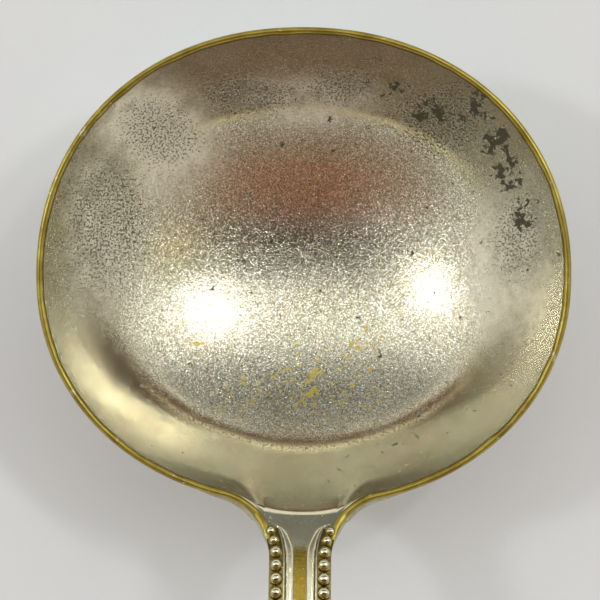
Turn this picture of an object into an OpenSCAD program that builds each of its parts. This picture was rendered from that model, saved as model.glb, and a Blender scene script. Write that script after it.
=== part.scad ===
// Round-bowled ladle spoon with a beaded handle, made the silversmith's way: nine brass pieces,
// hard-soldered together and silver plated. Millimetres, +Z up. The origin is the centre of the
// small flat under the bowl, on the table. The handle runs along -Y, and x = 0 is a mirror plane.
// The pieces are drawn about the centre of the bowl's oval, and placed() moves them to the frame.

/* [Bowl] */
// Width of the bowl across the rim
bowl_w = 60; // [54:1:66]
// From the bowl's centre to its front edge
bowl_front = 27.8; // [25:0.2:31]
// From the bowl's centre to the back of its oval
bowl_back = 25.8; // [24:0.2:27]
// Height of the rim above the table
rim_z = 19; // [16:0.5:23]
// Thickness of the bowl at its bottom
floor_t = 1; // [0.8:0.1:1.4]
// Thickness of the bowl's wall at the rim, measured level
wall_t = 0.9; // [0.7:0.05:1.2]
// Width of the flat that the bowl rests on
rest_w = 10; // [7:0.5:13]

/* [Rim] */
// Height of the half-round edging wire along the rim
rim_h = 0.75; // [0.5:0.05:1]

/* [Handle] */
// Overall length, from the bowl's front edge to the handle's tip
total_len = 170; // [160:1:185]
// Width of the stem at its narrowest
neck_w = 6.9; // [6.5:0.1:8]
// Width of the handle's broad end
end_w = 21; // [17:0.5:24]
// Thickness of the stem where it meets the bowl
neck_t = 3.4; // [3:0.1:4]
// Thickness of the handle at its tip
end_t = 2.2; // [2:0.1:2.6]
// Radius of the concave shoulders between the bowl and the stem
shoulder_r = 6.7; // [6:0.1:7.5]

/* [Border] */
// Pitch of the beads near the bowl
bead_pitch = 1.5; // [1.4:0.05:1.6]
// Pitch of the beads at the tip, as a multiple of the pitch near the bowl
bead_growth = 1.25; // [1:0.05:1.3]
// Diameter of the single large bead at the tip
tip_bead_d = 3; // [2.6:0.1:3.4]
// Width of the plain thread that runs inside each bead row
thread_w = 1.05; // [0.8:0.05:1.15]
// Height of the thread above the handle's flat face
thread_h = 0.45; // [0.3:0.05:0.6]

/* [Hidden] */
$fn = 48;

silver = [0.74, 0.72, 0.66];
brass = [0.72, 0.58, 0.18];

half_w = bowl_w / 2;
neck_hw = neck_w / 2;
end_hw = end_w / 2;
tip_y = bowl_front - total_len;
solder = 0.02;          // film of hard solder under every applied piece
least_step = 0.02;      // least spacing of points along the handle's edge lines
reach = 80;             // longer than any cut needs

oval_power = 2.12;      // 2 is an ellipse; more is squarer
cap_k = 0.8;            // 0 is a parabola in section; 1 has an upright wall at the rim
turn_side = 0.80;       // where the wall turns up into its steeper upper band, as a share of its plan
turn_front = 0.69;      // the same at the bowl's front
turn_gain = 0.55;       // how much steeper that band is
rim_rise = 1.4;         // how far the rim climbs towards the handle
rise_start = 15;        // how far behind the centre it starts to climb
deepest = [0, 2.6];     // the lowest point of the bowl, a little forward of its oval's centre
joint_y = -27.6;        // the plane where the stem meets the bowl
rings = 13;             // rings of facets from the bowl's bottom to its rim
wire_end_h = 0.06;      // height of the edging wire where it dies away beside the stem

// ---------------------------------------------------------------- small functions
function signed_pow(b, e) = sign(b) * pow(abs(b), e);
function clamp01(t) = min(1, max(0, t));
function smooth(t) = let (u = clamp01(t)) u * u * (3 - 2 * u);
function mix(a, b, t) = a + (b - a) * t;
function reversed(list) = [for (i = [len(list) - 1 : -1 : 0]) list[i]];
// Each point of a list on the other side of the plane x = 0
function mirrored(list) = [for (p = list) [-p.x, p.y]];

// ---------------------------------------------------------------- plan of the bowl
function oval_b(y) = y > 0 ? bowl_front : bowl_back;
function oval(t) = [half_w * signed_pow(cos(t), 2 / oval_power),
                    oval_b(sin(t)) * signed_pow(sin(t), 2 / oval_power)];
function oval_normal(p) = let (n = [
        signed_pow(p.x / half_w, oval_power - 1) / half_w,
        signed_pow(p.y / oval_b(p.y), oval_power - 1) / oval_b(p.y)])
    n / norm(n);
// The shoulder arc touches both the oval and the side of the stem
function shoulder_miss(t) =
    let (p = oval(t)) p.x + shoulder_r * oval_normal(p).x - neck_hw - shoulder_r;
function shoulder_t(lo = -89, hi = -40, n = 30) =
    let (mid = (lo + hi) / 2)
    n == 0 ? mid
           : shoulder_miss(mid) > 0 ? shoulder_t(lo, mid, n - 1) : shoulder_t(mid, hi, n - 1);
touch_t = shoulder_t();
touch = oval(touch_t);
shoulder_c = touch + shoulder_r * oval_normal(touch);
function shoulder_x(y) = shoulder_c.x - sqrt(shoulder_r * shoulder_r - pow(y - shoulder_c.y, 2));
joint_x = shoulder_x(joint_y);

oval_steps = 26;
arc_steps = 4;
joint_steps = 8;
joint_t = mix(touch_t, -90, 0.4);
// The rim runs along the oval, then round the shoulder to the corner where the stem joins. Every
// point of it is paired with a point of the plain oval, which the wall follows lower down.
rim_right = concat(
    [for (i = [0 : oval_steps]) let (p = oval(mix(90, touch_t, i / oval_steps))) [p, p]],
    [for (i = [1 : arc_steps]) let (f = i / arc_steps, y = mix(touch.y, joint_y, f))
        [[shoulder_x(y), y], oval(mix(touch_t, joint_t, f))]]);
// A point of the joint line, with u from 1 on the right to -1 on the left
function joint_pair(u) = [[u * joint_x, joint_y], oval(-90 + u * (joint_t + 90))];
joint_line = [for (i = [1 : joint_steps - 1]) joint_pair(1 - 2 * i / joint_steps)];
rim_left = [for (i = [len(rim_right) - 1 : -1 : 1]) mirrored(rim_right[i])];
outline = concat(rim_right, joint_line, rim_left);

// ---------------------------------------------------------------- surfaces of the bowl
function towards_joint(y) = clamp01((-y - rise_start) / (-joint_y - rise_start));
function rim_height(y) = rim_z + rim_rise * pow(towards_joint(y), 2);
// The wire thins out over the last stretch of each shoulder
wire_fade = 1.5;
function wire_h(p) = max(wire_end_h, rim_h * clamp01((p.y - joint_y) / wire_fade));
function wall_top(p) = rim_height(p.y) - wire_h(p);
function curve(rho) = (1 - sqrt(1 - cap_k * rho * rho)) / (1 - sqrt(1 - cap_k));
function turn_at(low) = mix(turn_side, turn_front, pow(max(0, low.y / bowl_front), 2));
function cap(rho, turn) =
    (curve(rho) + turn_gain * max(0, rho - turn)) / (1 + turn_gain * (1 - turn));
function sunk(turn) = cap(rest_w / bowl_w, turn);
// Pulls a rim point in by the wall's thickness
function thinner(p) = p * (1 - wall_t / norm(p));
// The point at a share rho of the way from the deepest point to a pair of rim points
function wall_plan(rim, low, rho) = mix(deepest, mix(low, rim, pow(rho, 8)), rho);
function outer_point(pair, rho) =
    let (q = wall_plan(pair[0], pair[1], rho), turn = turn_at(pair[1]))
    [q.x, q.y, wall_top(pair[0]) * (cap(rho, turn) - sunk(turn)) / (1 - sunk(turn))];
function inner_point(pair, rho) =
    let (q = wall_plan(thinner(pair[0]), thinner(pair[1]), rho))
    [q.x, q.y, mix(floor_t, wall_top(pair[0]), cap(rho, turn_at(pair[1])))];
// Rings crowd towards the rim, where the wall is steepest
function ring_rho(i) = sin(90 * i / rings);

// ---------------------------------------------------------------- plan and side view of the handle
end_cap = 15;           // length of the rounded end
stem_steps = 44;
cap_steps = 16;
end_y = tip_y + end_cap;
function widening(y) = smooth(pow((shoulder_c.y - y) / (shoulder_c.y - end_y), 1.35));
function stem_hw(y) = y > shoulder_c.y ? shoulder_x(y) : mix(neck_hw, end_hw, widening(y));
function stem_y(i) = mix(joint_y, end_y, pow(i / stem_steps, 1.25));
stem_edge = concat(
    [for (i = [0 : stem_steps]) [stem_hw(stem_y(i)), stem_y(i)]],
    [for (i = [1 : cap_steps]) let (t = 90 * i / cap_steps)
        [end_hw * cos(t), end_y - end_cap * sin(t)]]);
last = len(stem_edge) - 1;

function edge_normal(i) =
    let (a = stem_edge[max(0, i - 1)], b = stem_edge[min(last, i + 1)], t = (b - a) / norm(b - a))
    i == last ? [0, 1] : [t.y, -t.x];
// Right edge of the handle moved inwards by d, from the joint plane to the mirror plane
function inset(d) = [for (i = [0 : last])
    let (p = stem_edge[i] + d * edge_normal(i))
    [i == last ? 0 : p.x, min(p.y, joint_y - i * least_step)]];
// A right-hand line from joint to tip, then its mirror image from tip to joint
function both_sides(right) = concat(right, reversed(mirrored([for (i = [0 : last - 1]) right[i]])));

// Side view: the face of the handle rises from the rim, arches over and comes down to the tip
joint_z = rim_height(joint_y) - wire_end_h;
rise = [25, 15.6];      // how far back and up the first control point lies from the joint
fall = [42, 22];        // how far the next lies in front of the tip, and how high
tip_gap = 0.1;          // between the handle's tip and the table
arch = [[joint_y, joint_z], [joint_y - rise.x, joint_z + rise.y],
        [tip_y + fall.x, fall.y], [tip_y, end_t + tip_gap]];
function bezier(p, t) = let (u = 1 - t)
    u * u * u * p[0] + 3 * u * u * t * p[1] + 3 * u * t * t * p[2] + t * t * t * p[3];
function arch_t(y, lo = 0, hi = 1, n = 24) =
    let (mid = (lo + hi) / 2)
    n == 0 ? mid
           : bezier(arch, mid).x > y ? arch_t(y, mid, hi, n - 1) : arch_t(y, lo, mid, n - 1);
function face_z(y) = bezier(arch, arch_t(y)).y;
function stem_t(y) = mix(neck_t, end_t, clamp01((joint_y - y) / (joint_y - tip_y)));

// ---------------------------------------------------------------- building blocks
// Side faces between loops that each have m points
function loft_sides(loops, m) = [for (i = [0 : loops - 2], j = [0 : m - 1])
    let (a = i * m + j, b = i * m + (j + 1) % m) each [[a, b, b + m], [a, b + m, a + m]]];

// A closed solid through a list of loops; its two end loops are flat enough to close as they are
module loft(loops) {
    m = len(loops[0]);
    first_end = [for (j = [m - 1 : -1 : 0]) j];
    last_end = [for (j = [0 : m - 1]) (len(loops) - 1) * m + j];
    polyhedron([for (loop = loops) each loop],
               concat([first_end], loft_sides(len(loops), m), [last_end]));
}

// Everything lower than the handle's face raised by up, as far across as reach
module below_face(up) {
    face = [for (p = stem_edge) [p.y, face_z(p.y) + up]];
    rotate([90, 0, 90])
        linear_extrude(reach, center = true)
            polygon(concat([[reach, -reach], [reach, joint_z + up]], face,
                           [[tip_y - reach, end_t + up], [tip_y - reach, -reach]]));
}

module on_side(side) {
    mirror([side < 0 ? 1 : 0, 0, 0]) children();
}

// ---------------------------------------------------------------- bowl and rim
// Raised oval bowl, with the small flat that it rests on
module bowl() {
    outer = [for (i = [1 : rings]) [for (p = outline) outer_point(p, ring_rho(i))]];
    inner = [for (i = [rings : -1 : 1]) [for (p = outline) inner_point(p, ring_rho(i))]];
    color(silver)
        difference() {
            loft(concat(outer, inner));
            translate([-reach, -reach, -reach]) cube([2 * reach, 2 * reach, reach]);
        }
}

// Half-round edging wire soldered on the bowl's edge, from one shoulder round to the other
module rim_wire() {
    right = [for (pair = rim_right) pair[0]];
    path = concat(reversed(right), mirrored([for (i = [1 : len(right) - 1]) right[i]]));
    round_steps = 6;
    crown = 0.55;
    dome = [for (i = [0 : round_steps]) let (t = 180 * i / round_steps)
        [cos(t), 1 - crown + crown * sin(t)]];
    section = concat([[1, 0]], dome, [[-1, 0]]);
    loops = [for (p = path)
        [for (s = section) let (q = mix(thinner(p), p, (1 + s.x) / 2))
            [q.x, q.y, wall_top(p) + s.y * wire_h(p)]]];
    color(brass) loft(loops);
}

// Rounded tongue under the joint: it fills the corner between the stem's end and the bowl's back
module heel_drop() {
    drop_rings = 6;     // how many of the bowl's rings it runs down
    steps = 10;
    narrowest = 0.2;
    loops = [for (i = [0 : steps])
        let (s = i / steps,
             rho = ring_rho(rings - drop_rings * s),
             width = max(narrowest, sqrt(1 - s * s)),
             depth = neck_t * pow(1 - s, 1.3),
             across = [for (k = [0 : joint_steps]) 1 - 2 * k / joint_steps])
        concat(
            [for (u = across) outer_point(joint_pair(u * width), rho) - [0, 0, solder]],
            [for (u = reversed(across))
                let (side = 1 - 0.7 * pow(abs(u), 4))
                outer_point(joint_pair(u * width), rho) - [0, 0, 2 * solder + depth * side]])];
    color(silver) loft(loops);
}

// ---------------------------------------------------------------- handle
// Blank with a flat face, eased edges and a rounded back
module stem() {
    // Each loop is an inset from the edge and a depth below the face, as a share of the thickness
    section = [[2.1, 1], [0.95, 0.9], [0.25, 0.62], [0, 0.3], [0.06, 0]];
    m = 2 * last + 1;
    top = (len(section) - 1) * m;
    loops = [for (s = section)
        [for (p = both_sides(inset(s[0]))) [p.x, p.y, face_z(p.y) - s[1] * stem_t(p.y)]]];
    // The face and the back are each a ladder of strips between the two edges
    function ladder(base) = [for (i = [0 : last - 1])
        let (a = base + i, b = base + m - 1 - i)
        i == last - 1 ? [a, a + 1, b] : [a, a + 1, b - 1, b]];
    back = [for (f = ladder(0)) reversed(f)];
    color(silver)
        polyhedron([for (loop = loops) each loop],
                   concat(back, loft_sides(len(section), m), ladder(top)));
}

// ---------------------------------------------------------------- beaded border
bead_in = 0.82;         // inset of a row's centre line from the handle's edge
bead_start = 0.75;      // distance from the joint plane to the first bead
bead_share = 1.08;      // diameter of a bead as a share of the pitch, so neighbours are joined
bead_lift = 0.2;        // height of a bead's centre above the face, as a share of its radius
first_bead = 0.75;      // size of the first bead; the next few grow to full size
small_beads = 3;
bead_edge = 0.1;        // how far the large bead stays inside the tip
thread_in = 1.72;       // inset of the thread's outer side from the handle's edge

row_line = [for (p = inset(bead_in)) [p.x, p.y, face_z(p.y)]];
function step_len(i) = i > last ? 0 : norm(row_line[i] - row_line[i - 1]);
row_at = [for (i = 0, s = 0; i <= last; i = i + 1, s = s + step_len(i)) s];
row_len = row_at[last] - bead_start - tip_bead_d / 2;
bead_count = round(2 * row_len / (bead_pitch * (1 + bead_growth)));
bead_size = [for (k = [0 : bead_count - 1])
    mix(1, bead_growth, k / bead_count) * mix(first_bead, 1, smooth(k / small_beads))];
function size_of(k) = k < bead_count ? bead_size[k] : 0;
bead_end = [for (k = 0, s = size_of(0); k < bead_count; k = k + 1, s = s + size_of(k)) s];
bead_unit = row_len / bead_end[bead_count - 1];
function bead_s(k) = bead_start + bead_unit * (bead_end[k] - bead_size[k] / 2);
function bead_r(k) = bead_share * bead_unit * bead_size[k] / 2;
function row_point(s, lo = 0, hi = last) =
    let (mid = floor((lo + hi) / 2))
    hi - lo == 1 ? mix(row_line[lo], row_line[hi], (s - row_at[lo]) / (row_at[hi] - row_at[lo]))
                 : row_at[mid] > s ? row_point(s, lo, mid) : row_point(s, mid, hi);

// A bead wire with a flat back: touching balls whose undersides follow the handle's face
module bead_row(side) {
    on_side(side)
        difference() {
            for (k = [0 : bead_count - 1])
                translate(row_point(bead_s(k)) + [0, 0, bead_lift * bead_r(k)]) sphere(bead_r(k));
            below_face(solder);
        }
}

module bead_row_left() {
    color(silver) bead_row(-1);
}

module bead_row_right() {
    color(silver) bead_row(1);
}

// Large bead in the middle of the tip, between the ends of the two rows
module tip_bead() {
    y = tip_y + bead_edge + tip_bead_d / 2;
    color(silver)
        difference() {
            translate([0, y, face_z(y) + bead_lift * tip_bead_d / 2]) sphere(d = tip_bead_d);
            below_face(solder);
        }
}

// A low half-round thread beside the beads
module thread(side) {
    dome_steps = 6;
    lines = [for (k = [0 : dome_steps])
        let (t = 180 * k / dome_steps)
        [for (p = inset(thread_in + thread_w * (1 - cos(t)) / 2))
            [max(solder, p.x), p.y, face_z(p.y) + solder + thread_h * sin(t)]]];
    loops = [for (i = [last : -1 : 0]) [for (line = lines) line[i]]];
    on_side(side) loft(loops);
}

module thread_left() {
    color(silver) thread(-1);
}

module thread_right() {
    color(silver) thread(1);
}

// Brings the bowl's lowest point to the origin
module placed() {
    translate([-deepest.x, -deepest.y, 0]) children();
}

placed() bowl();
placed() rim_wire();
placed() heel_drop();
placed() stem();
placed() bead_row_left();
placed() bead_row_right();
placed() tip_bead();
placed() thread_left();
placed() thread_right();
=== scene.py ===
"""Looks of the beaded ladle spoon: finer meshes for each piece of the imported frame, worn silver
plate over brass, and a plain pale table under soft light.

Lengths in the mesh code are millimetres about the centre of the bowl's oval, as in the part's
source. to_frame() turns them into metres in the CAD frame.
"""
from math import copysign, cos, hypot, pi, radians, sin, sqrt, tan

import bmesh
import bpy
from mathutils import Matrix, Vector, noise


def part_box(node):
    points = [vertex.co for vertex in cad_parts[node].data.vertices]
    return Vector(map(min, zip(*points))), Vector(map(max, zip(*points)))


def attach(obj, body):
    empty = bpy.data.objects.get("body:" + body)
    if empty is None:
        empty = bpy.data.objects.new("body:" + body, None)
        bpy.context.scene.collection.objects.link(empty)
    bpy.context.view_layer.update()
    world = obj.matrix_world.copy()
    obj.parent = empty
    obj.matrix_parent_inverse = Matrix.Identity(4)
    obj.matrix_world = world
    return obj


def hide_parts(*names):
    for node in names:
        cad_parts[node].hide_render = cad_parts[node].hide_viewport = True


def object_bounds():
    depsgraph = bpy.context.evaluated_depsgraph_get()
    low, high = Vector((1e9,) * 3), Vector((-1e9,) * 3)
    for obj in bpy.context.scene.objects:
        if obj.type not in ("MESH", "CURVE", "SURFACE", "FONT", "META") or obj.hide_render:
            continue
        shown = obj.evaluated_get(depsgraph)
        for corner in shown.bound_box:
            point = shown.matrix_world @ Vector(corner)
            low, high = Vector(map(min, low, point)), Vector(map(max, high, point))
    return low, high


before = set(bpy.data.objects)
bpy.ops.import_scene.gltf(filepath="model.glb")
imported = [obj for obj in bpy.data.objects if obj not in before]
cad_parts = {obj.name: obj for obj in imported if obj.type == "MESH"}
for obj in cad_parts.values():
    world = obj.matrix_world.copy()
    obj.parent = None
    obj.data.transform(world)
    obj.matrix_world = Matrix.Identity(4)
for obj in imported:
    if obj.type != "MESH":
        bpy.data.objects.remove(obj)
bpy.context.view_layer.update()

MM = 0.001                          # metres
BOWL_HI = Vector(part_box("bowl")[1]) / MM
STEM_LO, STEM_HI = [Vector(corner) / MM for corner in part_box("stem")]
RIM_LO = Vector(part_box("rim_wire")[0]) / MM

# ------------------------------------------------------------------ driving sizes
FRONT = 27.8                        # from the oval's centre to the bowl's front edge
OVAL_Y = BOWL_HI.y - FRONT          # where the oval's centre lies in the frame
BACK = 25.8                         # from the oval's centre to its back, under the stem
HALF_W = BOWL_HI.x                  # half the bowl's width
POWER = 2.12                        # of the oval
CAP_K = 0.8                         # how upright the wall is at the rim
WIRE = 0.75                         # height of the rim wire
RIM_Z = RIM_LO.z + WIRE
RISE, RISE_START = 1.4, 15.0        # how far the rim climbs towards the handle, and from where
FLOOR = 1.0                         # thickness of the bowl at its bottom
DEEP_Y = -OVAL_Y                    # the lowest point, about the oval's centre
REST = 10.0 / 60.0                  # width of the flat as a share of the bowl's
JOINT_Y = STEM_HI.y - OVAL_Y        # where the stem meets the bowl
JOINT_Z = RIM_Z + RISE - 0.06       # height of the stem's face there, a hair under the wire
TIP_Y = STEM_LO.y - OVAL_Y          # the handle's tip
NECK_HW = 3.45                      # half width of the stem at the neck
END_HW = STEM_HI.x                  # half width of the handle at its broad end
END_CAP = 15.0                      # length of its rounded end
SHOULDER_R = 6.7                    # of the arcs between the bowl and the stem
NECK_T, END_T = 3.4, 2.2            # thickness of the handle at the neck and at its end


# ------------------------------------------------------------------ small functions
def signed_pow(b, e):
    return copysign(abs(b) ** e, b)


def clamp01(t):
    return min(1.0, max(0.0, t))


def smooth(t):
    u = clamp01(t)
    return u * u * (3 - 2 * u)


def mix(a, b, t):
    return a + (b - a) * t


def soft_min(a, b, width):
    h = clamp01(0.5 + 0.5 * (b - a) / width)
    return mix(b, a, h) - width * h * (1 - h)


def wobble(x, y, z, size, seed):
    """Smooth unevenness from about -1 to 1, whose features are about size across."""
    return noise.noise(Vector((x / size + seed, y / size - seed, z / size)))


def mirrored(v):
    return Vector((-v.x, v.y))


def on_side(p, side):
    """A point of the right-hand half as it is for side 1, or mirrored for side -1."""
    return Vector((p.x * side, p.y, p.z))


def to_frame(v):
    """A point in the script's own millimetres as one in metres in the CAD frame."""
    return Vector((v[0], v[1] + OVAL_Y, v[2])) * MM


# ------------------------------------------------------------------ plan of the bowl
def oval(t):
    """Point of the bowl's outline at angle t."""
    b = FRONT if sin(t) > 0 else BACK
    return Vector((HALF_W * signed_pow(cos(t), 2 / POWER), b * signed_pow(sin(t), 2 / POWER)))


def oval_normal(p):
    """Outward normal of the outline at its point p."""
    b = FRONT if p.y > 0 else BACK
    return Vector((signed_pow(p.x / HALF_W, POWER - 1) / HALF_W,
                   signed_pow(p.y / b, POWER - 1) / b)).normalized()


def touching_angle():
    """Angle on the oval where the arc of the right shoulder touches it."""
    lo, hi = radians(-89), radians(-40)
    for _ in range(40):
        mid = (lo + hi) / 2
        p = oval(mid)
        if p.x + SHOULDER_R * oval_normal(p).x > NECK_HW + SHOULDER_R:
            hi = mid
        else:
            lo = mid
    return lo


TOUCH_T = touching_angle()
TOUCH = oval(TOUCH_T)
SHOULDER_C = TOUCH + SHOULDER_R * oval_normal(TOUCH)


def shoulder_x(y):
    """The right shoulder's arc, where the oval runs out into the neck."""
    return SHOULDER_C.x - sqrt(SHOULDER_R ** 2 - (y - SHOULDER_C.y) ** 2)


JOINT_X = shoulder_x(JOINT_Y)


def rim_height(y):
    """Height of the top of the wire, which climbs towards the handle."""
    return RIM_Z + RISE * clamp01((-y - RISE_START) / (-JOINT_Y - RISE_START)) ** 2


# ------------------------------------------------------------------ side view of the handle
# (y, z) control points of the curve that the face of the handle follows
ARCH = [Vector((JOINT_Y, JOINT_Z)), Vector((JOINT_Y - 25, JOINT_Z + 15.6)),
        Vector((TIP_Y + 42, 22)), Vector((TIP_Y, END_T + 0.1))]
END_Y = TIP_Y + END_CAP


def arch_at(t):
    u = 1 - t
    return u ** 3 * ARCH[0] + 3 * u * u * t * ARCH[1] + 3 * u * t * t * ARCH[2] + t ** 3 * ARCH[3]


ARCH_LINE = [arch_at(i / 600) for i in range(601)]


def face_z(y):
    """Height of the handle's face, carried on straight past the joint into the bowl."""
    if y >= JOINT_Y:
        a, b = ARCH_LINE[0], ARCH_LINE[1]
        return a.y + (y - a.x) * (b.y - a.y) / (b.x - a.x)
    lo, hi = 0, len(ARCH_LINE) - 1
    while hi - lo > 1:
        mid = (lo + hi) // 2
        if ARCH_LINE[mid].x > y:
            lo = mid
        else:
            hi = mid
    a, b = ARCH_LINE[lo], ARCH_LINE[hi]
    return mix(a.y, b.y, (y - a.x) / (b.x - a.x))


def stem_t(y):
    """Thickness of the handle."""
    return mix(NECK_T, END_T, clamp01((JOINT_Y - y) / (JOINT_Y - TIP_Y)))


def stem_hw(y):
    """Half width of the handle, short of its rounded end."""
    if y > SHOULDER_C.y:
        return shoulder_x(y)
    return mix(NECK_HW, END_HW, smooth(((SHOULDER_C.y - y) / (SHOULDER_C.y - END_Y)) ** 1.35))


STEM_STEPS, CAP_STEPS = 220, 44
EDGE = []                           # the handle's right edge in plan, from the joint to the tip
for i in range(STEM_STEPS + 1):
    edge_y = mix(JOINT_Y, END_Y, (i / STEM_STEPS) ** 1.6)
    EDGE.append(Vector((stem_hw(edge_y), edge_y)))
for i in range(1, CAP_STEPS + 1):
    cap_angle = pi / 2 * i / CAP_STEPS
    EDGE.append(Vector((END_HW * cos(cap_angle), END_Y - END_CAP * sin(cap_angle))))
LAST = len(EDGE) - 1


def edge_normal(i):
    """Inward normal of the handle's right edge."""
    if i == LAST:
        return Vector((0, 1))
    along = (EDGE[min(LAST, i + 1)] - EDGE[max(0, i - 1)]).normalized()
    return Vector((along.y, -along.x))


def inset(d):
    """The right edge moved inwards by d, kept from passing the joint or the middle of the tip."""
    line = []
    for i in range(LAST + 1):
        p = EDGE[i] + d * edge_normal(i)
        line.append(Vector((0 if i == LAST else p.x, min(p.y, JOINT_Y - i * 0.001))))
    return line


def both_sides(right):
    """The right-hand line from joint to tip, then its mirror image from tip to joint."""
    return right + [mirrored(p) for p in reversed(right[:-1])]


# ------------------------------------------------------------------ mesh building
WELD, SLIVER = 0.0008, 0.0002       # points nearer than this are joined, and edges shorter dissolved


def add_grid(bm, rows, closed=False):
    """Quads through rows of points; closed joins each row's end to its start."""
    verts = [[bm.verts.new(to_frame(p)) for p in row] for row in rows]
    n = len(rows[0])
    for a, b in zip(verts, verts[1:]):
        for j in range(n if closed else n - 1):
            k = (j + 1) % n
            bm.faces.new((a[j], a[k], b[k], b[j]))
    return verts


def add_fan(bm, ring, centre):
    """Triangles that close a ring to one point."""
    tip = bm.verts.new(to_frame(centre))
    for j, v in enumerate(ring):
        bm.faces.new((v, ring[(j + 1) % len(ring)], tip))
    return tip


def finish_piece(bm, name, node, material, sharp=40):
    """Welds the mesh, makes it an object that stands for a CAD node, and gives it its material."""
    bmesh.ops.remove_doubles(bm, verts=bm.verts, dist=WELD * MM)
    bmesh.ops.dissolve_degenerate(bm, edges=bm.edges, dist=SLIVER * MM)
    bmesh.ops.recalc_face_normals(bm, faces=bm.faces)
    mesh = bpy.data.meshes.new(name)
    bm.to_mesh(mesh)
    bm.free()
    mesh.polygons.foreach_set("use_smooth", [True] * len(mesh.polygons))
    mesh.set_sharp_from_angle(angle=radians(sharp))
    mesh.materials.append(material)
    piece = bpy.data.objects.new(name, mesh)
    bpy.context.scene.collection.objects.link(piece)
    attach(piece, "root")
    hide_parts(node)
    return piece


# ------------------------------------------------------------------ bowl
OVAL_STEPS, ARC_STEPS, JOINT_STEPS = 150, 26, 36
INNER_RINGS, OUTER_RINGS = 150, 60
JOINT_T = mix(TOUCH_T, -pi / 2, 0.4)  # angle on the oval that lies behind the joint's corner
LIP = 0.74                         # how far the wire's inner edge lies inside the outline
WIRE_SINK = 0.04                   # how far the wire reaches into the wall it lies on
TURN_SIDE, TURN_FRONT = 0.80, 0.69  # where the wall turns up into its steeper upper band
TURN_GAIN = 0.55                   # how much steeper that band is
TURN_SOFT, TURN_SOFT_SIDE = 0.03, 0.14  # how softly it starts, at the bowl's ends and at its sides
LINE_AT, LINE_HW = 0.008, 0.024    # the painted highlight line just above the turn, and its half width
CREST_RISE = 0.0155                # how far the wall runs on above the stem's face at the joint
CREST_SOFT = 0.35                  # how softly it bends over there
BEVEL = 0.45                       # width of the silver seen outside the wire at the shoulders
BULGE = 2.1                        # the wall swells by this many bevels, for it leans in from the rim
JOINT_DEPTH = 1.1                  # height of the bowl's end face against the stem


def arc_point(y, inward):
    """A point of the shoulder's arc, moved inwards, and the outward normal there."""
    reach_x = sqrt((SHOULDER_R + inward) ** 2 - (y - SHOULDER_C.y) ** 2)
    p = Vector((SHOULDER_C.x - reach_x, y))
    return p, (SHOULDER_C - p).normalized()


def outline(inward):
    """Right round the bowl, moved inwards: (rim point, point of the plain oval, outward normal,
    how far along the joint's line from 1 at its right end to -1 at its left, or None, and how
    much the wall belongs to the neck)."""
    right = []
    for i in range(OVAL_STEPS + 1):
        p = oval(mix(pi / 2, TOUCH_T, i / OVAL_STEPS))
        n = oval_normal(p)
        right.append((p - n * inward, p - n * inward, n, None, 0.0))
    start_y = right[-1][0].y
    for i in range(1, ARC_STEPS + 1):
        f = i / ARC_STEPS
        p, n = arc_point(mix(start_y, JOINT_Y, f), inward)
        low = oval(mix(TOUCH_T, JOINT_T, f))
        right.append((p, low - oval_normal(low) * inward, n, None, smooth(f)))
    joint_x = right[-1][0].x
    across = []
    for i in range(1, JOINT_STEPS):
        u = 1 - 2 * i / JOINT_STEPS
        low = oval(-pi / 2 + u * (JOINT_T + pi / 2))
        across.append((Vector((u * joint_x, JOINT_Y)), low - oval_normal(low) * inward,
                       Vector((0, 0)), u, 1.0))
    left = [(mirrored(p), mirrored(low), mirrored(n), None, neck)
            for p, low, n, _, neck in reversed(right[1:])]
    return right + across + left


def curve(rho):
    """Height of a plain rounded profile, 0 at the middle and 1 at the rim."""
    return (1 - sqrt(1 - CAP_K * rho * rho)) / (1 - sqrt(1 - CAP_K))


def turn_at(low):
    """Where the wall turns up into its steeper upper band, as a share of its plan."""
    return mix(TURN_SIDE, TURN_FRONT, max(0.0, low.y / FRONT) ** 2)


def endness(low):
    """1 at the bowl's front and back ends, falling to 0 at its sides."""
    return smooth((abs(low.y) / BACK - 0.35) / 0.6)


def cap(rho, low):
    """Height of the wall's profile, 0 at the middle and 1 at the rim, straight beyond it."""
    if rho > 1:
        step = 0.001
        return 1 + (1 - cap(1 - step, low)) * (rho - 1) / step
    turn, soft = turn_at(low), mix(TURN_SOFT_SIDE, TURN_SOFT, endness(low))
    past = rho - turn
    bent = past if past > soft else max(0.0, past + soft) ** 2 / (4 * soft)
    return (curve(rho) + TURN_GAIN * bent) / (1 + TURN_GAIN * (1 - turn))


DEEPEST = Vector((0, DEEP_Y))


def wall_plan(rim, low, rho):
    """Place of a wall point in plan; the shift from the plain oval comes in only near the rim."""
    return DEEPEST + (low + (rim - low) * rho ** 8 - DEEPEST) * rho


def dents(x, y):
    """Slow unevenness of a bowl that was raised and planished by hand."""
    return 0.03 * wobble(x, y, 0, 11.0, 3.1) + 0.008 * wobble(x, y, 0, 4.6, 8.7)


def lip_z(y):
    """Height of the bowl's top edge, under the wire: it joins the plane of the stem's face."""
    return -soft_min(WIRE - rim_height(y), -face_z(y), 0.3)


def plain_top(low):
    """Height of the wall under the wire, as if the plain oval ran on behind the stem."""
    return rim_height(low.y) - WIRE


def wall_height(station, rho, bottom, share):
    """Height between bottom and the top edge; the climb to the stem comes in only near the rim."""
    rim, low = station[0], station[1]
    climb = (lip_z(rim.y) - plain_top(low)) * rho ** 10
    return mix(bottom, plain_top(low), share) + climb


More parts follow.
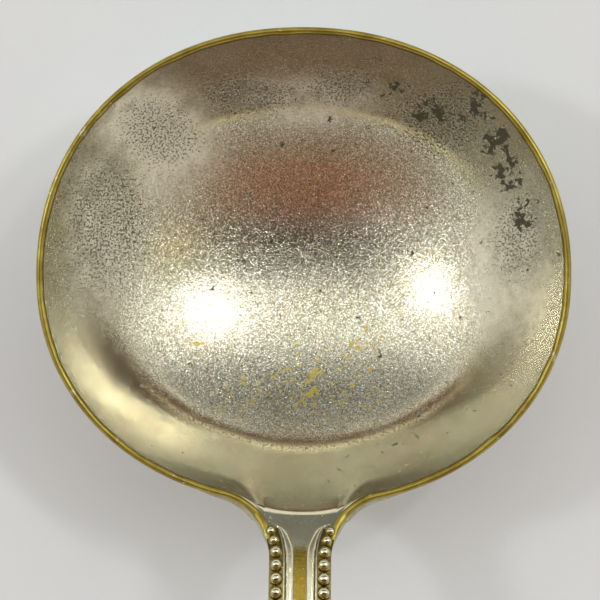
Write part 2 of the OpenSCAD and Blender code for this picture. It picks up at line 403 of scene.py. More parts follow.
def inner_point(station, soft_rim, rho):
    """A point inside the bowl; below the last of the wall it follows the softened rim."""
    rim, low, _, _, neck = station
    rim = mix(soft_rim, rim, smooth((rho - 0.95) / 0.05))
    q = wall_plan(rim, low, rho)
    reach = rho + CREST_RISE * neck * smooth((rho - 0.7) / 0.28)
    z = wall_height((rim, low), rho, FLOOR, cap(reach, low))
    if neck > 0:
        z = soft_min(z, lip_z(q.y), CREST_SOFT * neck)
    return Vector((q.x, q.y, z + dents(q.x, q.y) * (1 - rho ** 6)))


def bevel(x, y):
    """How far the silver stands out beyond the wire near the neck."""
    return BEVEL * smooth((17 - abs(x)) / 10) * (1 - smooth((JOINT_Y - y) / 3.5))


def outer_point(station, rho):
    """A point on the bowl's back, which is cut off flat where it rests."""
    rim, low, n, along, _ = station
    q = wall_plan(rim, low, rho)
    if rim.y < 0:
        fullness = smooth((rho - 0.86) / 0.1) * (1 - smooth((rho - 0.985) / 0.015))
        q += n * bevel(rim.x, rim.y) * BULGE * fullness
    sunk = cap(REST, low)
    z = wall_height(station, rho, 0.0, (cap(rho, low) - sunk) / (1 - sunk))
    if along is not None:
        z -= JOINT_DEPTH * (1 - along ** 6) * rho ** 10
    return Vector((q.x, q.y, max(0.0, z)))


def ring_rho(i, n):
    """Share of the plan of ring i of n: rings lie closer together towards the rim."""
    return mix(i / n, sin(pi / 2 * i / n), 0.75)


def flat_map(mesh):
    """A UV map that unrolls the bowl from its lowest point, in millimetres."""
    layer = mesh.uv_layers.new(name="flat")
    reach = {}
    for v in mesh.vertices:
        x, y = v.co.x / MM, v.co.y / MM
        r = hypot(x, y)
        depth = v.co.z / MM
        arc = sqrt(r * r + 1.35 * depth * depth)
        reach[v.index] = (x * arc / r, y * arc / r) if r > 1e-6 else (0.0, 0.0)
    for loop in mesh.loops:
        layer.data[loop.index].uv = reach[loop.vertex_index]


def softened_rims(stations, passes=220):
    """Rim points whose corners at the joint are rounded, for the wall a little below the rim."""
    shifts = [station[0] - station[1] for station in stations]
    n = len(shifts)
    for _ in range(passes):
        shifts = [(shifts[i - 1] + 2 * shifts[i] + shifts[(i + 1) % n]) / 4 for i in range(n)]
    return [station[1] + shift for station, shift in zip(stations, shifts)]


def build_bowl(material):
    bm = bmesh.new()
    inner, outer = outline(LIP), outline(0)
    soft_rims = softened_rims(inner)
    rows = [[inner_point(p, soft, ring_rho(i, INNER_RINGS)) for p, soft in zip(inner, soft_rims)]
            for i in range(1, INNER_RINGS + 1)]
    rows += [[outer_point(p, ring_rho(i, OUTER_RINGS)) for p in outer]
             for i in range(OUTER_RINGS, 0, -1)]
    for layer in ("inside", "turn_highlight"):
        bm.verts.layers.float.new(layer)
    inside, turn_highlight = bm.verts.layers.float["inside"], bm.verts.layers.float["turn_highlight"]
    rings = add_grid(bm, rows, closed=True)
    centre_z = FLOOR + dents(0, DEEP_Y)
    middle = add_fan(bm, rings[0], (0, DEEP_Y, centre_z))
    add_fan(bm, list(reversed(rings[-1])), (0, DEEP_Y, 0))
    for v in [middle] + [v for ring in rings[:INNER_RINGS] for v in ring]:
        v[inside] = 1.0
    # this layer masks a painted highlight line just above the turn
    for i, ring in enumerate(rings[:INNER_RINGS]):
        for v, (_, low, *_) in zip(ring, inner):
            off = (ring_rho(i + 1, INNER_RINGS) - turn_at(low) - LINE_AT) / LINE_HW
            v[turn_highlight] = smooth(1 - abs(off)) * endness(low)
    piece = finish_piece(bm, "bowl_shell", "bowl", material)
    flat_map(piece.data)
    return piece


# ------------------------------------------------------------------ rim wire
def build_rim_wire(material):
    """The edging wire, carried on along the stem's edges until it dies into the first beads."""
    run_out, run_steps, least, width = 1.7, 12, 0.35, LIP + 0.06
    right = []
    for p, _, n, _, _ in outline(0)[:OVAL_STEPS + ARC_STEPS + 1]:
        base = lip_z(p.y)
        right.append((p, n, width, max(least, rim_height(p.y) - base), base))
    for i in range(1, run_steps + 1):
        f = smooth(i / run_steps)
        p, n = arc_point(JOINT_Y - run_out * i / run_steps, 0)
        right.append((p, n, mix(width, 0.5, f), mix(least, 0.1, f), face_z(p.y)))
    left = [(mirrored(p), mirrored(n), w, h, b) for p, n, w, h, b in right]
    path = list(reversed(right)) + left[1:]
    round_steps = 10
    section = [(0.5, 0.0), (0.5, 0.25)]
    for i in range(round_steps + 1):
        t = pi * i / round_steps
        section.append((0.5 * cos(t), 0.42 + 0.58 * sin(t)))
    section += [(-0.5, 0.25), (-0.5, 0.0)]
    rows = []
    for p, n, width, height, base in path:
        worn = 1 + 0.25 * wobble(p.x, p.y, 0, 2.1, 5.5)
        uneven = 0.07 * wobble(p.x, p.y, 0, 3.4, 1.5)
        middle = p - n * (width / 2)
        row = []
        for across, up in section:
            inner_share = worn if across < 0 else 1.0
            q = middle + n * (width * across * inner_share)
            top = (height + WIRE_SINK) * up * (1 + uneven)
            row.append(Vector((q.x, q.y, base - WIRE_SINK + top)))
        rows.append(row)
    bm = bmesh.new()
    verts = add_grid(bm, rows, closed=True)
    bm.faces.new(verts[0])
    bm.faces.new(verts[-1])
    return finish_piece(bm, "rim_edging", "rim_wire", material, sharp=60)


# ------------------------------------------------------------------ heel drop
def build_heel_drop(material):
    """Tongue on the bowl's back that fills the corner under the stem."""
    steps, half = 40, 16
    top_rows, bottom_rows = [], []
    for i in range(steps + 1):
        s = i / steps
        rho = mix(1.0, 0.64, s)
        width = max(0.02, sqrt(1 - s ** 2.2)) * 0.985
        depth = NECK_T * (1 - s) ** 1.25
        top, bottom = [], []
        for k in range(-half, half + 1):
            u = k / half
            low = oval(-pi / 2 + u * width * (JOINT_T + pi / 2))
            station = (Vector((u * width * JOINT_X, JOINT_Y)), low, Vector((0, 0)), u * width, 0.0)
            q = outer_point(station, rho)
            side = sqrt(max(0.0, 1 - abs(u) ** 3.2))
            top.append(q + Vector((0, 0, 0.05)))
            bottom.append(q - Vector((0, 0, depth * side)))
        top_rows.append(top)
        bottom_rows.append(bottom)
    bm = bmesh.new()
    add_grid(bm, [t + list(reversed(b)) for t, b in zip(top_rows, bottom_rows)], closed=True)
    for i in (0, steps):
        add_grid(bm, [top_rows[i], bottom_rows[i]])
    return finish_piece(bm, "heel_tongue", "heel_drop", material)


# ------------------------------------------------------------------ stem
def crowned(right, i, columns, depth, crown):
    """A row of points across the handle at one station; crown lifts its middle."""
    p = right[i]
    row = []
    for c in range(columns + 1):
        u = 1 - 2 * c / columns
        lift = crown * min(1.0, abs(p.x) / END_HW) * (1 - u * u) * smooth((JOINT_Y - p.y) / 8)
        row.append(Vector((p.x * u, p.y, face_z(p.y) - depth + lift)))
    return row


def build_stem(material):
    # inset from the edge, and depth below the face as a share of the thickness
    section = [(2.3, 1.0), (1.5, 0.975), (0.9, 0.9), (0.45, 0.78), (0.16, 0.62), (0.02, 0.46),
               (0.0, 0.3), (0.03, 0.16), (0.12, 0.06), (0.3, 0.0)]
    columns = 14
    lines = []
    for d, share in section:
        bulge = smooth((share - 0.1) / 0.2)
        lines.append([Vector((p.x + bulge * bevel(p.x, p.y), p.y)) for p in inset(d)])
    bm = bmesh.new()
    loops = []
    for line, (_, share) in zip(lines, section):
        loops.append([Vector((p.x, p.y, face_z(p.y) - share * stem_t(p.y))) for p in both_sides(line)])
    add_grid(bm, loops)
    add_grid(bm, [crowned(lines[-1], i, columns, 0, 0.22) for i in range(LAST + 1)])
    back = [crowned(lines[0], i, columns, stem_t(lines[0][i].y), -0.35) for i in range(LAST + 1)]
    add_grid(bm, back)
    end = [back[0]]
    for line, (_, share) in list(zip(lines, section))[1:-1]:
        end.append(crowned(line, 0, columns, share * stem_t(line[0].y), 0))
    end.append(crowned(lines[-1], 0, columns, 0, 0.22))
    add_grid(bm, end)
    return finish_piece(bm, "stem_blank", "stem", material)


# ------------------------------------------------------------------ beaded border
BEAD_IN = 0.82                     # from the handle's edge to the middle of the row
BEAD_START = 0.75                  # from the joint to the first bead
BEAD_PITCH, BEAD_GROWTH = 1.5, 1.25  # at the neck, and how many times wider it is at the tip
BEAD_LIFT = 0.22                   # a bead's centre stands this share of its radius above the face
TIP_BEAD_D = 3.0
FIRST_BEAD, SMALL_BEADS = 0.75, 3  # size of the first bead, and how many it takes to grow from it
STRIP = (0.06, 1.6)                # the strip under the beads, insets of its two edges
THREAD_IN, THREAD_W, THREAD_H = 1.74, 1.08, 0.5
THREAD_FROM = 0.9                  # how far inside the edge the thread begins, by the wire


def face_point(p, up=0.0):
    return Vector((p.x, p.y, face_z(p.y) + up))


def build_thread(side, name, node, material):
    steps = 12
    outer, inner = inset(THREAD_IN), inset(THREAD_IN + THREAD_W)
    section = [((1 - cos(pi * k / steps)) / 2, sin(pi * k / steps)) for k in range(steps + 1)]
    section += [(0.8, -0.25 / THREAD_H), (0.2, -0.25 / THREAD_H)]
    rows = []
    edge = inset(THREAD_FROM)
    for i in range(LAST + 1):
        grow = mix(0.12, 1.0, smooth((JOINT_Y - EDGE[i].y + 0.2) / 3.2))
        start = mix(edge[i], outer[i], smooth((JOINT_Y - EDGE[i].y + 0.3) / 1.9))
        row = []
        for across, up in section:
            foot = start + (inner[i] - outer[i]) * (across * grow)
            p = face_point(foot, THREAD_H * up * grow - 0.02)
            row.append(on_side(p, side))
        rows.append(row)
    bm = bmesh.new()
    verts = add_grid(bm, rows, closed=True)
    bm.faces.new(verts[0])
    bm.faces.new(verts[-1])
    return finish_piece(bm, name, node, material, sharp=60)


def bead_stations():
    """(position on the face, direction along the row, radius) of each bead of the right-hand row."""
    line = [face_point(p) for p in inset(BEAD_IN)]
    at = [0.0]
    for a, b in zip(line, line[1:]):
        at.append(at[-1] + (b - a).length)
    row_len = at[-1] - BEAD_START - TIP_BEAD_D / 2
    count = round(2 * row_len / (BEAD_PITCH * (1 + BEAD_GROWTH)))
    sizes = [mix(1, BEAD_GROWTH, k / count) * mix(FIRST_BEAD, 1, smooth(k / SMALL_BEADS))
             for k in range(count)]
    unit = row_len / sum(sizes)
    stations, s, j = [], BEAD_START, 0
    for size in sizes:
        centre = s + unit * size / 2
        s += unit * size
        while at[j + 1] < centre:
            j += 1
        f = (centre - at[j]) / (at[j + 1] - at[j])
        stations.append((mix(line[j], line[j + 1], f), (line[j + 1] - line[j]).normalized(),
                         unit * size / 2))
    return stations


def add_ball(bm, crown_layer, centre, along, radius, seed, around=26, rings=13):
    """A bead: a ball that is cut a little below the face it stands on."""
    up = Vector((0, 0, 1))
    across = along.cross(up).normalized()
    up = across.cross(along).normalized()
    deepest = radians(112)
    verts = []
    for i in range(1, rings + 1):
        t = deepest * i / rings
        ring = []
        for j in range(around):
            a = 2 * pi * j / around
            d = along * (sin(t) * cos(a)) + across * (sin(t) * sin(a)) + up * cos(t)
            uneven = 1 + 0.035 * wobble(d.x + seed, d.y, d.z, 0.9, 2.2)
            v = bm.verts.new(to_frame(centre + d * (radius * uneven)))
            v[crown_layer] = cos(t)
            ring.append(v)
        verts.append(ring)
    top = bm.verts.new(to_frame(centre + up * radius))
    top[crown_layer] = 1.0
    for j in range(around):
        bm.faces.new((verts[0][j], verts[0][(j + 1) % around], top))
    for a, b in zip(verts, verts[1:]):
        for j in range(around):
            k = (j + 1) % around
            bm.faces.new((a[j], a[k], b[k], b[j]))
    bm.faces.new(verts[-1])


def build_bead_row(side, name, node, material):
    bm = bmesh.new()
    crown_layer = bm.verts.layers.float.new("crown")
    for k, (p, along, radius) in enumerate(bead_stations()):
        r = radius * 1.04
        centre = on_side(p, side) + Vector((0, 0, BEAD_LIFT * r))
        add_ball(bm, crown_layer, centre, on_side(along, side), r, k * 1.7 + side)
    outer, inner = [inset(d) for d in STRIP]
    first = next(i for i in range(LAST) if EDGE[i].y < JOINT_Y - 1.0)
    rows = []
    for i in range(first, LAST + 1):
        grow = smooth((i - first) / 12)
        corners = [face_point(outer[i], -0.12), face_point(outer[i], 0.16 * grow),
                   face_point(inner[i], 0.16 * grow), face_point(inner[i], -0.12)]
        rows.append([on_side(p, side) for p in corners])
    verts = add_grid(bm, rows, closed=True)
    for ring in verts:
        for v in ring:
            v[crown_layer] = -0.4
    bm.faces.new(verts[0])
    bm.faces.new(verts[-1])
    return finish_piece(bm, name, node, material, sharp=50)


def build_tip_bead(material):
    bm = bmesh.new()
    crown_layer = bm.verts.layers.float.new("crown")
    y = TIP_Y + 0.1 + TIP_BEAD_D / 2
    r = TIP_BEAD_D / 2
    add_ball(bm, crown_layer, Vector((0, y, face_z(y) + 0.2 * r)), Vector((1, 0, 0)), r, 9.3, 40, 20)
    return finish_piece(bm, "tip_ball", "tip_bead", material)


# ------------------------------------------------------------------ material building
class Look:
    """A material's node tree, with short calls for the nodes that the looks are made of."""

    def __init__(self, tree):
        self.tree = tree
        tree.nodes.clear()

    def node(self, kind, props=None, **inputs):
        """A new node; an input's name is written with _ for each space."""
        made = self.tree.nodes.new(kind)
        for key, value in (props or {}).items():
            setattr(made, key, value)
        for key, value in inputs.items():
            self.feed(made.inputs[key.replace("_", " ")], value)
        return made

    def feed(self, socket, value):
        if isinstance(value, bpy.types.NodeSocket):
            self.tree.links.new(value, socket)
        else:
            socket.default_value = value

    def maths(self, operation, a, b=0.0, clamp=False):
        made = self.tree.nodes.new("ShaderNodeMath")
        made.operation = operation
        made.use_clamp = clamp
        for socket, value in zip(made.inputs, (a, b)):
            self.feed(socket, value)
        return made.outputs[0]

    def vector(self, operation, a, b=(0, 0, 0)):
        made = self.tree.nodes.new("ShaderNodeVectorMath")
        made.operation = operation
        self.feed(made.inputs[0], a)
        if operation == "SCALE":
            self.feed(made.inputs["Scale"], b)
        else:
            self.feed(made.inputs[1], b)
        return made.outputs["Value" if operation in ("LENGTH", "DOT_PRODUCT") else "Vector"]

    def parts(self, vector):
        return self.node("ShaderNodeSeparateXYZ", Vector=vector).outputs

    def placed(self, where, shift=(0, 0, 0), scale=1.0, kind="POINT"):
        """where times scale plus shift, or with kind TEXTURE where less shift."""
        made = self.node("ShaderNodeMapping", {"vector_type": kind}, Vector=where, Location=shift,
                         Scale=(scale, scale, scale))
        return made.outputs["Vector"]

    def object_mm(self):
        """Object coordinates in millimetres."""
        return self.placed(self.node("ShaderNodeTexCoord").outputs["Object"], scale=1 / MM)

    def flat_mm(self):
        """Where a point of the bowl lies once it is unrolled, in millimetres."""
        return self.node("ShaderNodeUVMap", {"uv_map": "flat"}).outputs["UV"]

    def attribute(self, name):
        """A number that the mesh holds at each vertex."""
        return self.node("ShaderNodeAttribute", {"attribute_name": name}).outputs["Fac"]

    def ramp(self, value, low, high, to_low=0.0, to_high=1.0):
        """Smooth step of value from to_low at low to to_high at high."""
        made = self.node("ShaderNodeMapRange", {"interpolation_type": "SMOOTHSTEP"})
        for key, number in (("Value", value), ("From Min", low), ("From Max", high),
                            ("To Min", to_low), ("To Max", to_high)):
            self.feed(made.inputs[key], number)
        return made.outputs["Result"]

    def blend(self, factor, a, b):
        made = self.node("ShaderNodeMix", {"data_type": "RGBA"})
        self.feed(made.inputs["Factor"], factor)
        self.feed(made.inputs["A"], a)
        self.feed(made.inputs["B"], b)
        return made.outputs["Result"]

    def noise(self, where, size, detail=3.0, rough=0.55, seed=0.0, distortion=0.0):
        """Fractal noise whose features are about size across, in the units of where."""
        moved = self.placed(where, (seed * 17.3, seed * 9.1, seed * 5.7))
        made = self.node("ShaderNodeTexNoise", Vector=moved, Scale=1 / size, Detail=detail,
                         Roughness=rough, Distortion=distortion)
        return made.outputs["Fac"]

    def scratches(self, where, cell, length, width, share, seed):
        """Fine straight scratches, at most one to a cell, each turned its own way."""
        scaled = self.placed(where, (seed * 3.7 / cell, seed * 8.3 / cell, 0), 1 / cell)
        cells = self.node("ShaderNodeTexVoronoi", {"voronoi_dimensions": "2D"}, Vector=scaled, Scale=1.0)
        local = self.placed(scaled, cells.outputs["Position"], kind="TEXTURE")
        lot = self.node("ShaderNodeSeparateColor", Color=cells.outputs["Color"]).outputs
        turn = self.node("ShaderNodeVectorRotate", {"rotation_type": "Z_AXIS"}, Vector=local,
                         Angle=self.maths("MULTIPLY", lot["Red"], 2 * pi))
        spot = self.parts(turn.outputs["Vector"])
        bend = self.maths("MULTIPLY", self.maths("MULTIPLY", spot["X"], spot["X"]), 0.25)
        off = self.maths("ABSOLUTE", self.maths("SUBTRACT", spot["Y"], bend))
        across = self.ramp(off, width / cell, 0.0)
        along = self.ramp(self.maths("ABSOLUTE", spot["X"]), length / cell / 2, length / cell / 4)
        there = self.maths("LESS_THAN", lot["Green"], share)
        return self.maths("MULTIPLY", self.maths("MULTIPLY", across, along), there)

    def patches(self, where, spots):
        """A soft field that is 1 in the middle of each (x, y, half width, half height) patch."""
        total = 0.0
        for x, y, w, h in spots:
            away = self.vector("MULTIPLY", self.vector("SUBTRACT", where, (x, y, 0)), (1 / w, 1 / h, 0))
            near = self.ramp(self.vector("LENGTH", away), 1.0, 0.25)
            total = self.maths("MAXIMUM", near, total)
        return total

    def bump(self, height, distance):
        made = self.node("ShaderNodeBump", Strength=1.0, Distance=distance, Height=height)
        return made.outputs["Normal"]

    def all_of(self, *factors):
        """The product of the factors."""
        product = factors[0]
        for factor in factors[1:]:
            product = self.maths("MULTIPLY", product, factor)
        return product

    def surface(self, color, roughness, normal, metallic=1.0):
        shader = self.node("ShaderNodeBsdfPrincipled", Metallic=metallic, Roughness=roughness)
        self.feed(shader.inputs["Base Color"], color)
        self.feed(shader.inputs["Normal"], normal)
        out = self.node("ShaderNodeOutputMaterial")
        self.tree.links.new(shader.outputs["BSDF"], out.inputs["Surface"])


def new_material(name, paint):
    """A material whose nodes are drawn by paint(look)."""
    material = bpy.data.materials.new(name)
    material.use_nodes = True
    paint(Look(material.node_tree))
    return material


# colours of the metal and of what lies on it
SILVER = (0.52, 0.505, 0.385, 1)
SILVER_WARM = (0.42, 0.37, 0.24, 1)
SILVER_GREEN = (0.47, 0.50, 0.36, 1)
SILVER_PINK = (0.56, 0.48, 0.38, 1)
BRASS = (0.36, 0.295, 0.065, 1)
BRASS_DEEP = (0.22, 0.165, 0.03, 1)
CHANNEL_BRASS = (0.30, 0.225, 0.035, 1)
CHANNEL_DEEP = (0.22, 0.15, 0.02, 1)
FRECKLE = (0.55, 0.44, 0.08, 1)
TARNISH = (0.042, 0.038, 0.02, 1)
DIRT = (0.13, 0.12, 0.08, 1)
GRIME = (0.12, 0.11, 0.05, 1)
PAINTED_GLINT = (0.95, 0.94, 0.86, 1)
PAINTED_HIGHLIGHT = (0.95, 0.88, 0.56, 1)
FRONT_RIM_BROWN = (0.33, 0.25, 0.15, 1)
HAZE = (0.74, 0.72, 0.60, 1)

# patches of wear in the bowl: x, y, half width and half height in mm of the frame
FRECKLED = [(3.0, -15, 12, 8), (-7.5, -17, 5, 5), (-13, -11.6, 3, 3), (7, -11, 5, 5)]
PITTED = [(-23.5, 3, 8, 15), (-6, 18.5, 10, 3.4), (4, 19.5, 8, 3), (-17, 14, 8, 7), (25, 2.5, 5, 10),
          (16, 16, 9, 7)]
CORRODED = [(19.2, 16.6, 3.6, 3.4), (14.8, 16.8, 3.6, 2.6), (21.8, 13, 3, 3), (23.3, 9.4, 2.6, 3.4),
            (25.2, 4.6, 2, 4), (10, 19, 3, 1.6)]
MILKY = [(-17, 13, 10, 9), (23.5, -2, 6, 15), (-24, 2, 5, 14), (0, 18, 12, 4)]
MILKIEST = [(-17.5, 14, 8.5, 6.5)]
BOWL_REACH = (29.0, 26.5)          # half width and half length that the bowl's zones are scaled by

# layers of scratches: cell size and half width of the groove in mm, and share of cells with one
HATCH = [(0.27, 0.036, 0.8), (0.34, 0.038, 0.8), (0.43, 0.040, 0.8), (0.56, 0.042, 0.7)]
GOUGES = [(1.5, 0.055, 0.5), (2.9, 0.055, 0.5), (6.5, 0.050, 0.45)]

# how deep a bump of 1 is, in mm
BOWL_RELIEF, HANDLE_RELIEF, BEAD_RELIEF, PAPER_RELIEF = 0.0115, 0.012, 0.008, 0.03


def plate_base(look, where, scale=1.0):
    """Colour and roughness of old silver plate: a warm film of tarnish that comes and goes."""
    cloud = look.noise(where, 9.0 * scale, 3, 0.55, 1)
    mottle = look.noise(where, 1.6 * scale, 4, 0.6, 2)
    film = look.ramp(look.maths("ADD", cloud, look.all_of(mottle, 0.5)), 0.62, 0.98)
    color = look.blend(look.all_of(film, 0.75), SILVER, SILVER_WARM)
    tint = look.ramp(look.noise(where, 3.0 * scale, 3, 0.6, 11), 0.38, 0.62)
    color = look.blend(0.2, color, look.blend(tint, SILVER_GREEN, SILVER_PINK))
    return color, look.maths("ADD", 0.07, look.all_of(mottle, 0.08))


def hatch(look, where, layers, first_seed):
    """Layers of scratches added together."""
    total = 0.0
    for k, (cell, half, share) in enumerate(layers):
        layer = look.scratches(where, cell, cell * 0.95, half, share, first_seed + k)
        total = look.maths("ADD", layer, total)
    return total


def where_worked(look, flat, mm, reach):
    """1 where the bowl is matt with fine scratches, falling towards its smooth lower band."""
    ragged = look.all_of(look.noise(flat, 2.4, 3, 0.6, 12), 0.2)
    low_side = look.ramp(look.parts(mm)["Y"], -4, -17)
    near_rim = look.ramp(look.maths("ADD", reach, ragged), 0.80, 1.0)
    amount = look.maths("ADD", 0.35, look.all_of(low_side, 0.65))
    return look.maths("SUBTRACT", 1.0, look.all_of(near_rim, amount))


def scratch_colors(look, flat, color, worked):
    """Dirt in some of the scratches, painted glints as bright specks in others, and a painted highlight
    line along the turn.
    """
    dirt = look.ramp(look.noise(flat, 0.17, 2, 0.6, 31), 0.50, 0.62)
    dirt = look.all_of(dirt, look.maths("ADD", 0.12, worked))
    color = look.blend(look.all_of(dirt, 0.7), color, DIRT)
    # painted glints: bright specks in the colour that stand in for light glinting off the scratches
    painted_glints = look.ramp(look.noise(flat, 0.17, 2, 0.6, 33), 0.50, 0.62)
    painted_glints = look.all_of(painted_glints, look.maths("ADD", 0.08, worked))
    color = look.blend(look.all_of(painted_glints, 0.75), color, PAINTED_GLINT)
    # painted highlight: a bright yellow line in the colour just above the turn, standing in for the room
    # mirrored there
    speckled = look.ramp(look.noise(flat, 0.35, 3, 0.65, 32), 0.30, 0.56)
    turn_highlight = look.all_of(look.attribute("turn_highlight"), speckled)
    color = look.blend(look.all_of(turn_highlight, 0.85), color, PAINTED_HIGHLIGHT)
    grime = look.all_of(look.scratches(flat, 1.3, 1.0, 0.055, 0.14, 34), worked)
    return look.blend(look.all_of(grime, 0.75), color, GRIME), turn_highlight


def corrosion(look, flat, mm, inside):
    """1 in the fine pits, the deep dark blotches and the stray specks, weaker outside the bowl."""
    pits_at = look.all_of(look.patches(mm, PITTED), 0.17)
    pits = look.ramp(look.maths("ADD", look.noise(flat, 0.30, 3, 0.65, 6), pits_at), 0.66, 0.72)
    deep_at = look.all_of(look.patches(mm, CORRODED), 0.17)
    deep = look.ramp(look.maths("ADD", look.noise(flat, 1.5, 5, 0.7, 7, 0.2), deep_at), 0.635, 0.69)
    stray = look.ramp(look.noise(flat, 0.5, 2, 0.5, 8), 0.78, 0.82)
    dark = look.maths("MAXIMUM", look.maths("MAXIMUM", look.all_of(pits, 0.9), deep), stray)
    return look.all_of(dark, look.maths("ADD", 0.35, look.all_of(inside, 0.65)))


def milky_haze(look, mm, reach):
    """Old polish that dulls the plate, thicker towards the rim and in a few patches."""
    towards_rim = look.ramp(reach, 0.5, 1.0, 0.07, 0.30)
    thick = look.maths("ADD", towards_rim, look.all_of(look.patches(mm, MILKY), 1.1))
    thick = look.maths("ADD", thick, look.patches(mm, MILKIEST))
    thick = look.all_of(thick, look.ramp(look.parts(mm)["Y"], -16, -4, 0.35, 1.0))
    return look.maths("MULTIPLY", look.noise(mm, 2.6, 4, 0.62, 36), thick, clamp=True)


def bowl_look(look):
    flat = look.flat_mm()
    mm = look.object_mm()
    inside = look.ramp(look.attribute("inside"), 0.4, 0.6)
    reach = look.vector("LENGTH", look.vector("MULTIPLY", mm, (1 / BOWL_REACH[0], 1 / BOWL_REACH[1], 0)))
    worked = where_worked(look, flat, mm, reach)
    color, roughness = plate_base(look, mm)
    color, turn_highlight = scratch_colors(look, flat, color, worked)

    # the outer edge near the neck is filed rough and rubbed down to the brass in places
    filed = look.all_of(look.maths("SUBTRACT", 1.0, inside), look.ramp(look.parts(mm)["Z"], 14, 17))
    rubbed = look.all_of(filed, look.ramp(look.noise(mm, 0.5, 3, 0.6, 34), 0.45, 0.6), 0.7)
    color = look.blend(rubbed, color, BRASS)

    # freckles where the plate is worn through to the brass, browner towards the rim at the front,
    # corrosion
    worn_at = look.all_of(look.patches(mm, FRECKLED), 0.13)
    bare = look.ramp(look.maths("ADD", look.noise(flat, 0.8, 4, 0.64, 5), worn_at), 0.70, 0.74)
    bare = look.all_of(bare, inside)
    color = look.blend(bare, color, FRECKLE)
    # browner and darker towards the rim at the front
    front_rim_brown = look.all_of(look.ramp(reach, 0.86, 1.02), look.ramp(look.parts(mm)["Y"], 2, 22), 0.3)
    color = look.blend(front_rim_brown, color, FRONT_RIM_BROWN)
    dark = corrosion(look, flat, mm, inside)
    color = look.blend(look.all_of(dark, 0.95), color, TARNISH)
    haze = milky_haze(look, mm, reach)
    color = look.blend(look.all_of(haze, look.maths("SUBTRACT", 1.0, dark)), color, HAZE)

    roughness = look.maths("ADD", roughness, look.all_of(look.maths("MAXIMUM", dark, bare), 0.3))
    roughness = look.maths("ADD", roughness, look.all_of(worked, 0.07))
    # less metal in the haze and along the painted highlight line, which makes that line a pale diffuse
    # one too
    veiled = look.maths("MAXIMUM", haze, look.all_of(turn_highlight, 0.4))
    metal = look.maths("SUBTRACT", 1.0, look.maths("MAXIMUM", look.all_of(dark, 0.7), veiled))

    # relief: a fine skin, less the scratches, pits and file marks
    fine = look.all_of(hatch(look, flat, HATCH, 1), worked, 0.6)
    gouges = look.all_of(hatch(look, flat, GOUGES, 21), look.maths("ADD", 0.1, worked), 0.8)
    pitting = look.maths("ADD", look.all_of(dark, 1.2), look.all_of(bare, 0.5))
    file_marks = look.all_of(filed, look.noise(mm, 0.3, 3, 0.7, 35), 8.0)
    cut = look.maths("ADD", look.maths("ADD", fine, gouges), look.maths("ADD", pitting, file_marks))
    rough_skin = look.maths("ADD", 0.1, look.all_of(worked, 1.4))
    skin = look.all_of(look.noise(flat, 0.15, 2, 0.6, 3), rough_skin)
    normal = look.bump(look.maths("SUBTRACT", skin, cut), BOWL_RELIEF * MM)
    look.surface(color, roughness, normal, metal)


def brass_look(look):
    mm = look.object_mm()
    cloud = look.noise(mm, 3.0, 3, 0.6, 1)
    color = look.blend(look.ramp(cloud, 0.35, 0.7), BRASS, BRASS_DEEP)
    silver_left = look.ramp(look.noise(mm, 1.3, 3, 0.6, 2), 0.63, 0.70)
    color = look.blend(look.all_of(silver_left, 0.7), color, SILVER)
    nick = look.ramp(look.noise(mm, 0.35, 2, 0.6, 3), 0.60, 0.72)
    roughness = look.maths("ADD", 0.26, look.all_of(cloud, 0.2))
    height = look.maths("SUBTRACT", look.noise(mm, 0.12, 2, 0.6, 4), nick)
    look.surface(color, roughness, look.bump(height, HANDLE_RELIEF * MM))


def handle_look(look):
    mm = look.object_mm()
    place = look.parts(mm)
    color, roughness = plate_base(look, mm)
    handled = look.ramp(place["Y"], -29.5, -37, 0.15, 1.0)

    # the plate is worn through to brass down the middle of the narrow stem, and on the high arch
    up = look.parts(look.node("ShaderNodeNewGeometry").outputs["Normal"])["Z"]
    ragged = look.all_of(look.noise(mm, 0.8, 3, 0.6, 5), 0.25)
    channel = look.ramp(look.maths("ADD", look.maths("ABSOLUTE", place["X"]), ragged), 0.86, 0.72)
    starts, narrow = look.ramp(place["Y"], -32.1, -33.3), look.ramp(place["Y"], -62, -44)
    channel = look.all_of(channel, starts, narrow, look.ramp(up, 0.2, 0.6))
    rubbed = look.ramp(look.noise(mm, 5.0, 4, 0.62, 6), 0.60, 0.72)
    rubbed = look.all_of(rubbed, look.ramp(place["Z"], 17, 25), 0.8)
    brass = look.blend(look.noise(mm, 2.0, 3, 0.6, 7), CHANNEL_BRASS, CHANNEL_DEEP)
    color = look.blend(look.maths("MAXIMUM", channel, rubbed), color, brass)
    spots = look.ramp(look.noise(mm, 0.5, 3, 0.6, 8), 0.72, 0.78)
    color = look.blend(look.all_of(spots, 0.8), color, TARNISH)

    along = look.vector("MULTIPLY", mm, (1.0, 1.0, 0.4))
    scratch = look.all_of(hatch(look, along, HATCH + GOUGES, 41), handled, 0.5)
    skin = look.all_of(look.noise(mm, 0.3, 3, 0.6, 9), handled, 0.6)
    height = look.maths("SUBTRACT", skin, look.maths("ADD", scratch, spots))
    haze = look.all_of(look.noise(mm, 3.2, 3, 0.6, 36), look.ramp(place["Y"], -34, -30, 0.3, 0.14))
    metal = look.maths("SUBTRACT", 1.0, haze)
    look.surface(color, roughness, look.bump(height, HANDLE_RELIEF * MM), metal)


def back_look(look):
    mm = look.object_mm()
    color, roughness = plate_base(look, mm, 0.9)
    scratch = look.all_of(hatch(look, mm, HATCH + GOUGES, 61), 0.5)
    height = look.maths("SUBTRACT", look.noise(mm, 0.3, 3, 0.6, 9), scratch)
    look.surface(color, roughness, look.bump(height, HANDLE_RELIEF * MM))


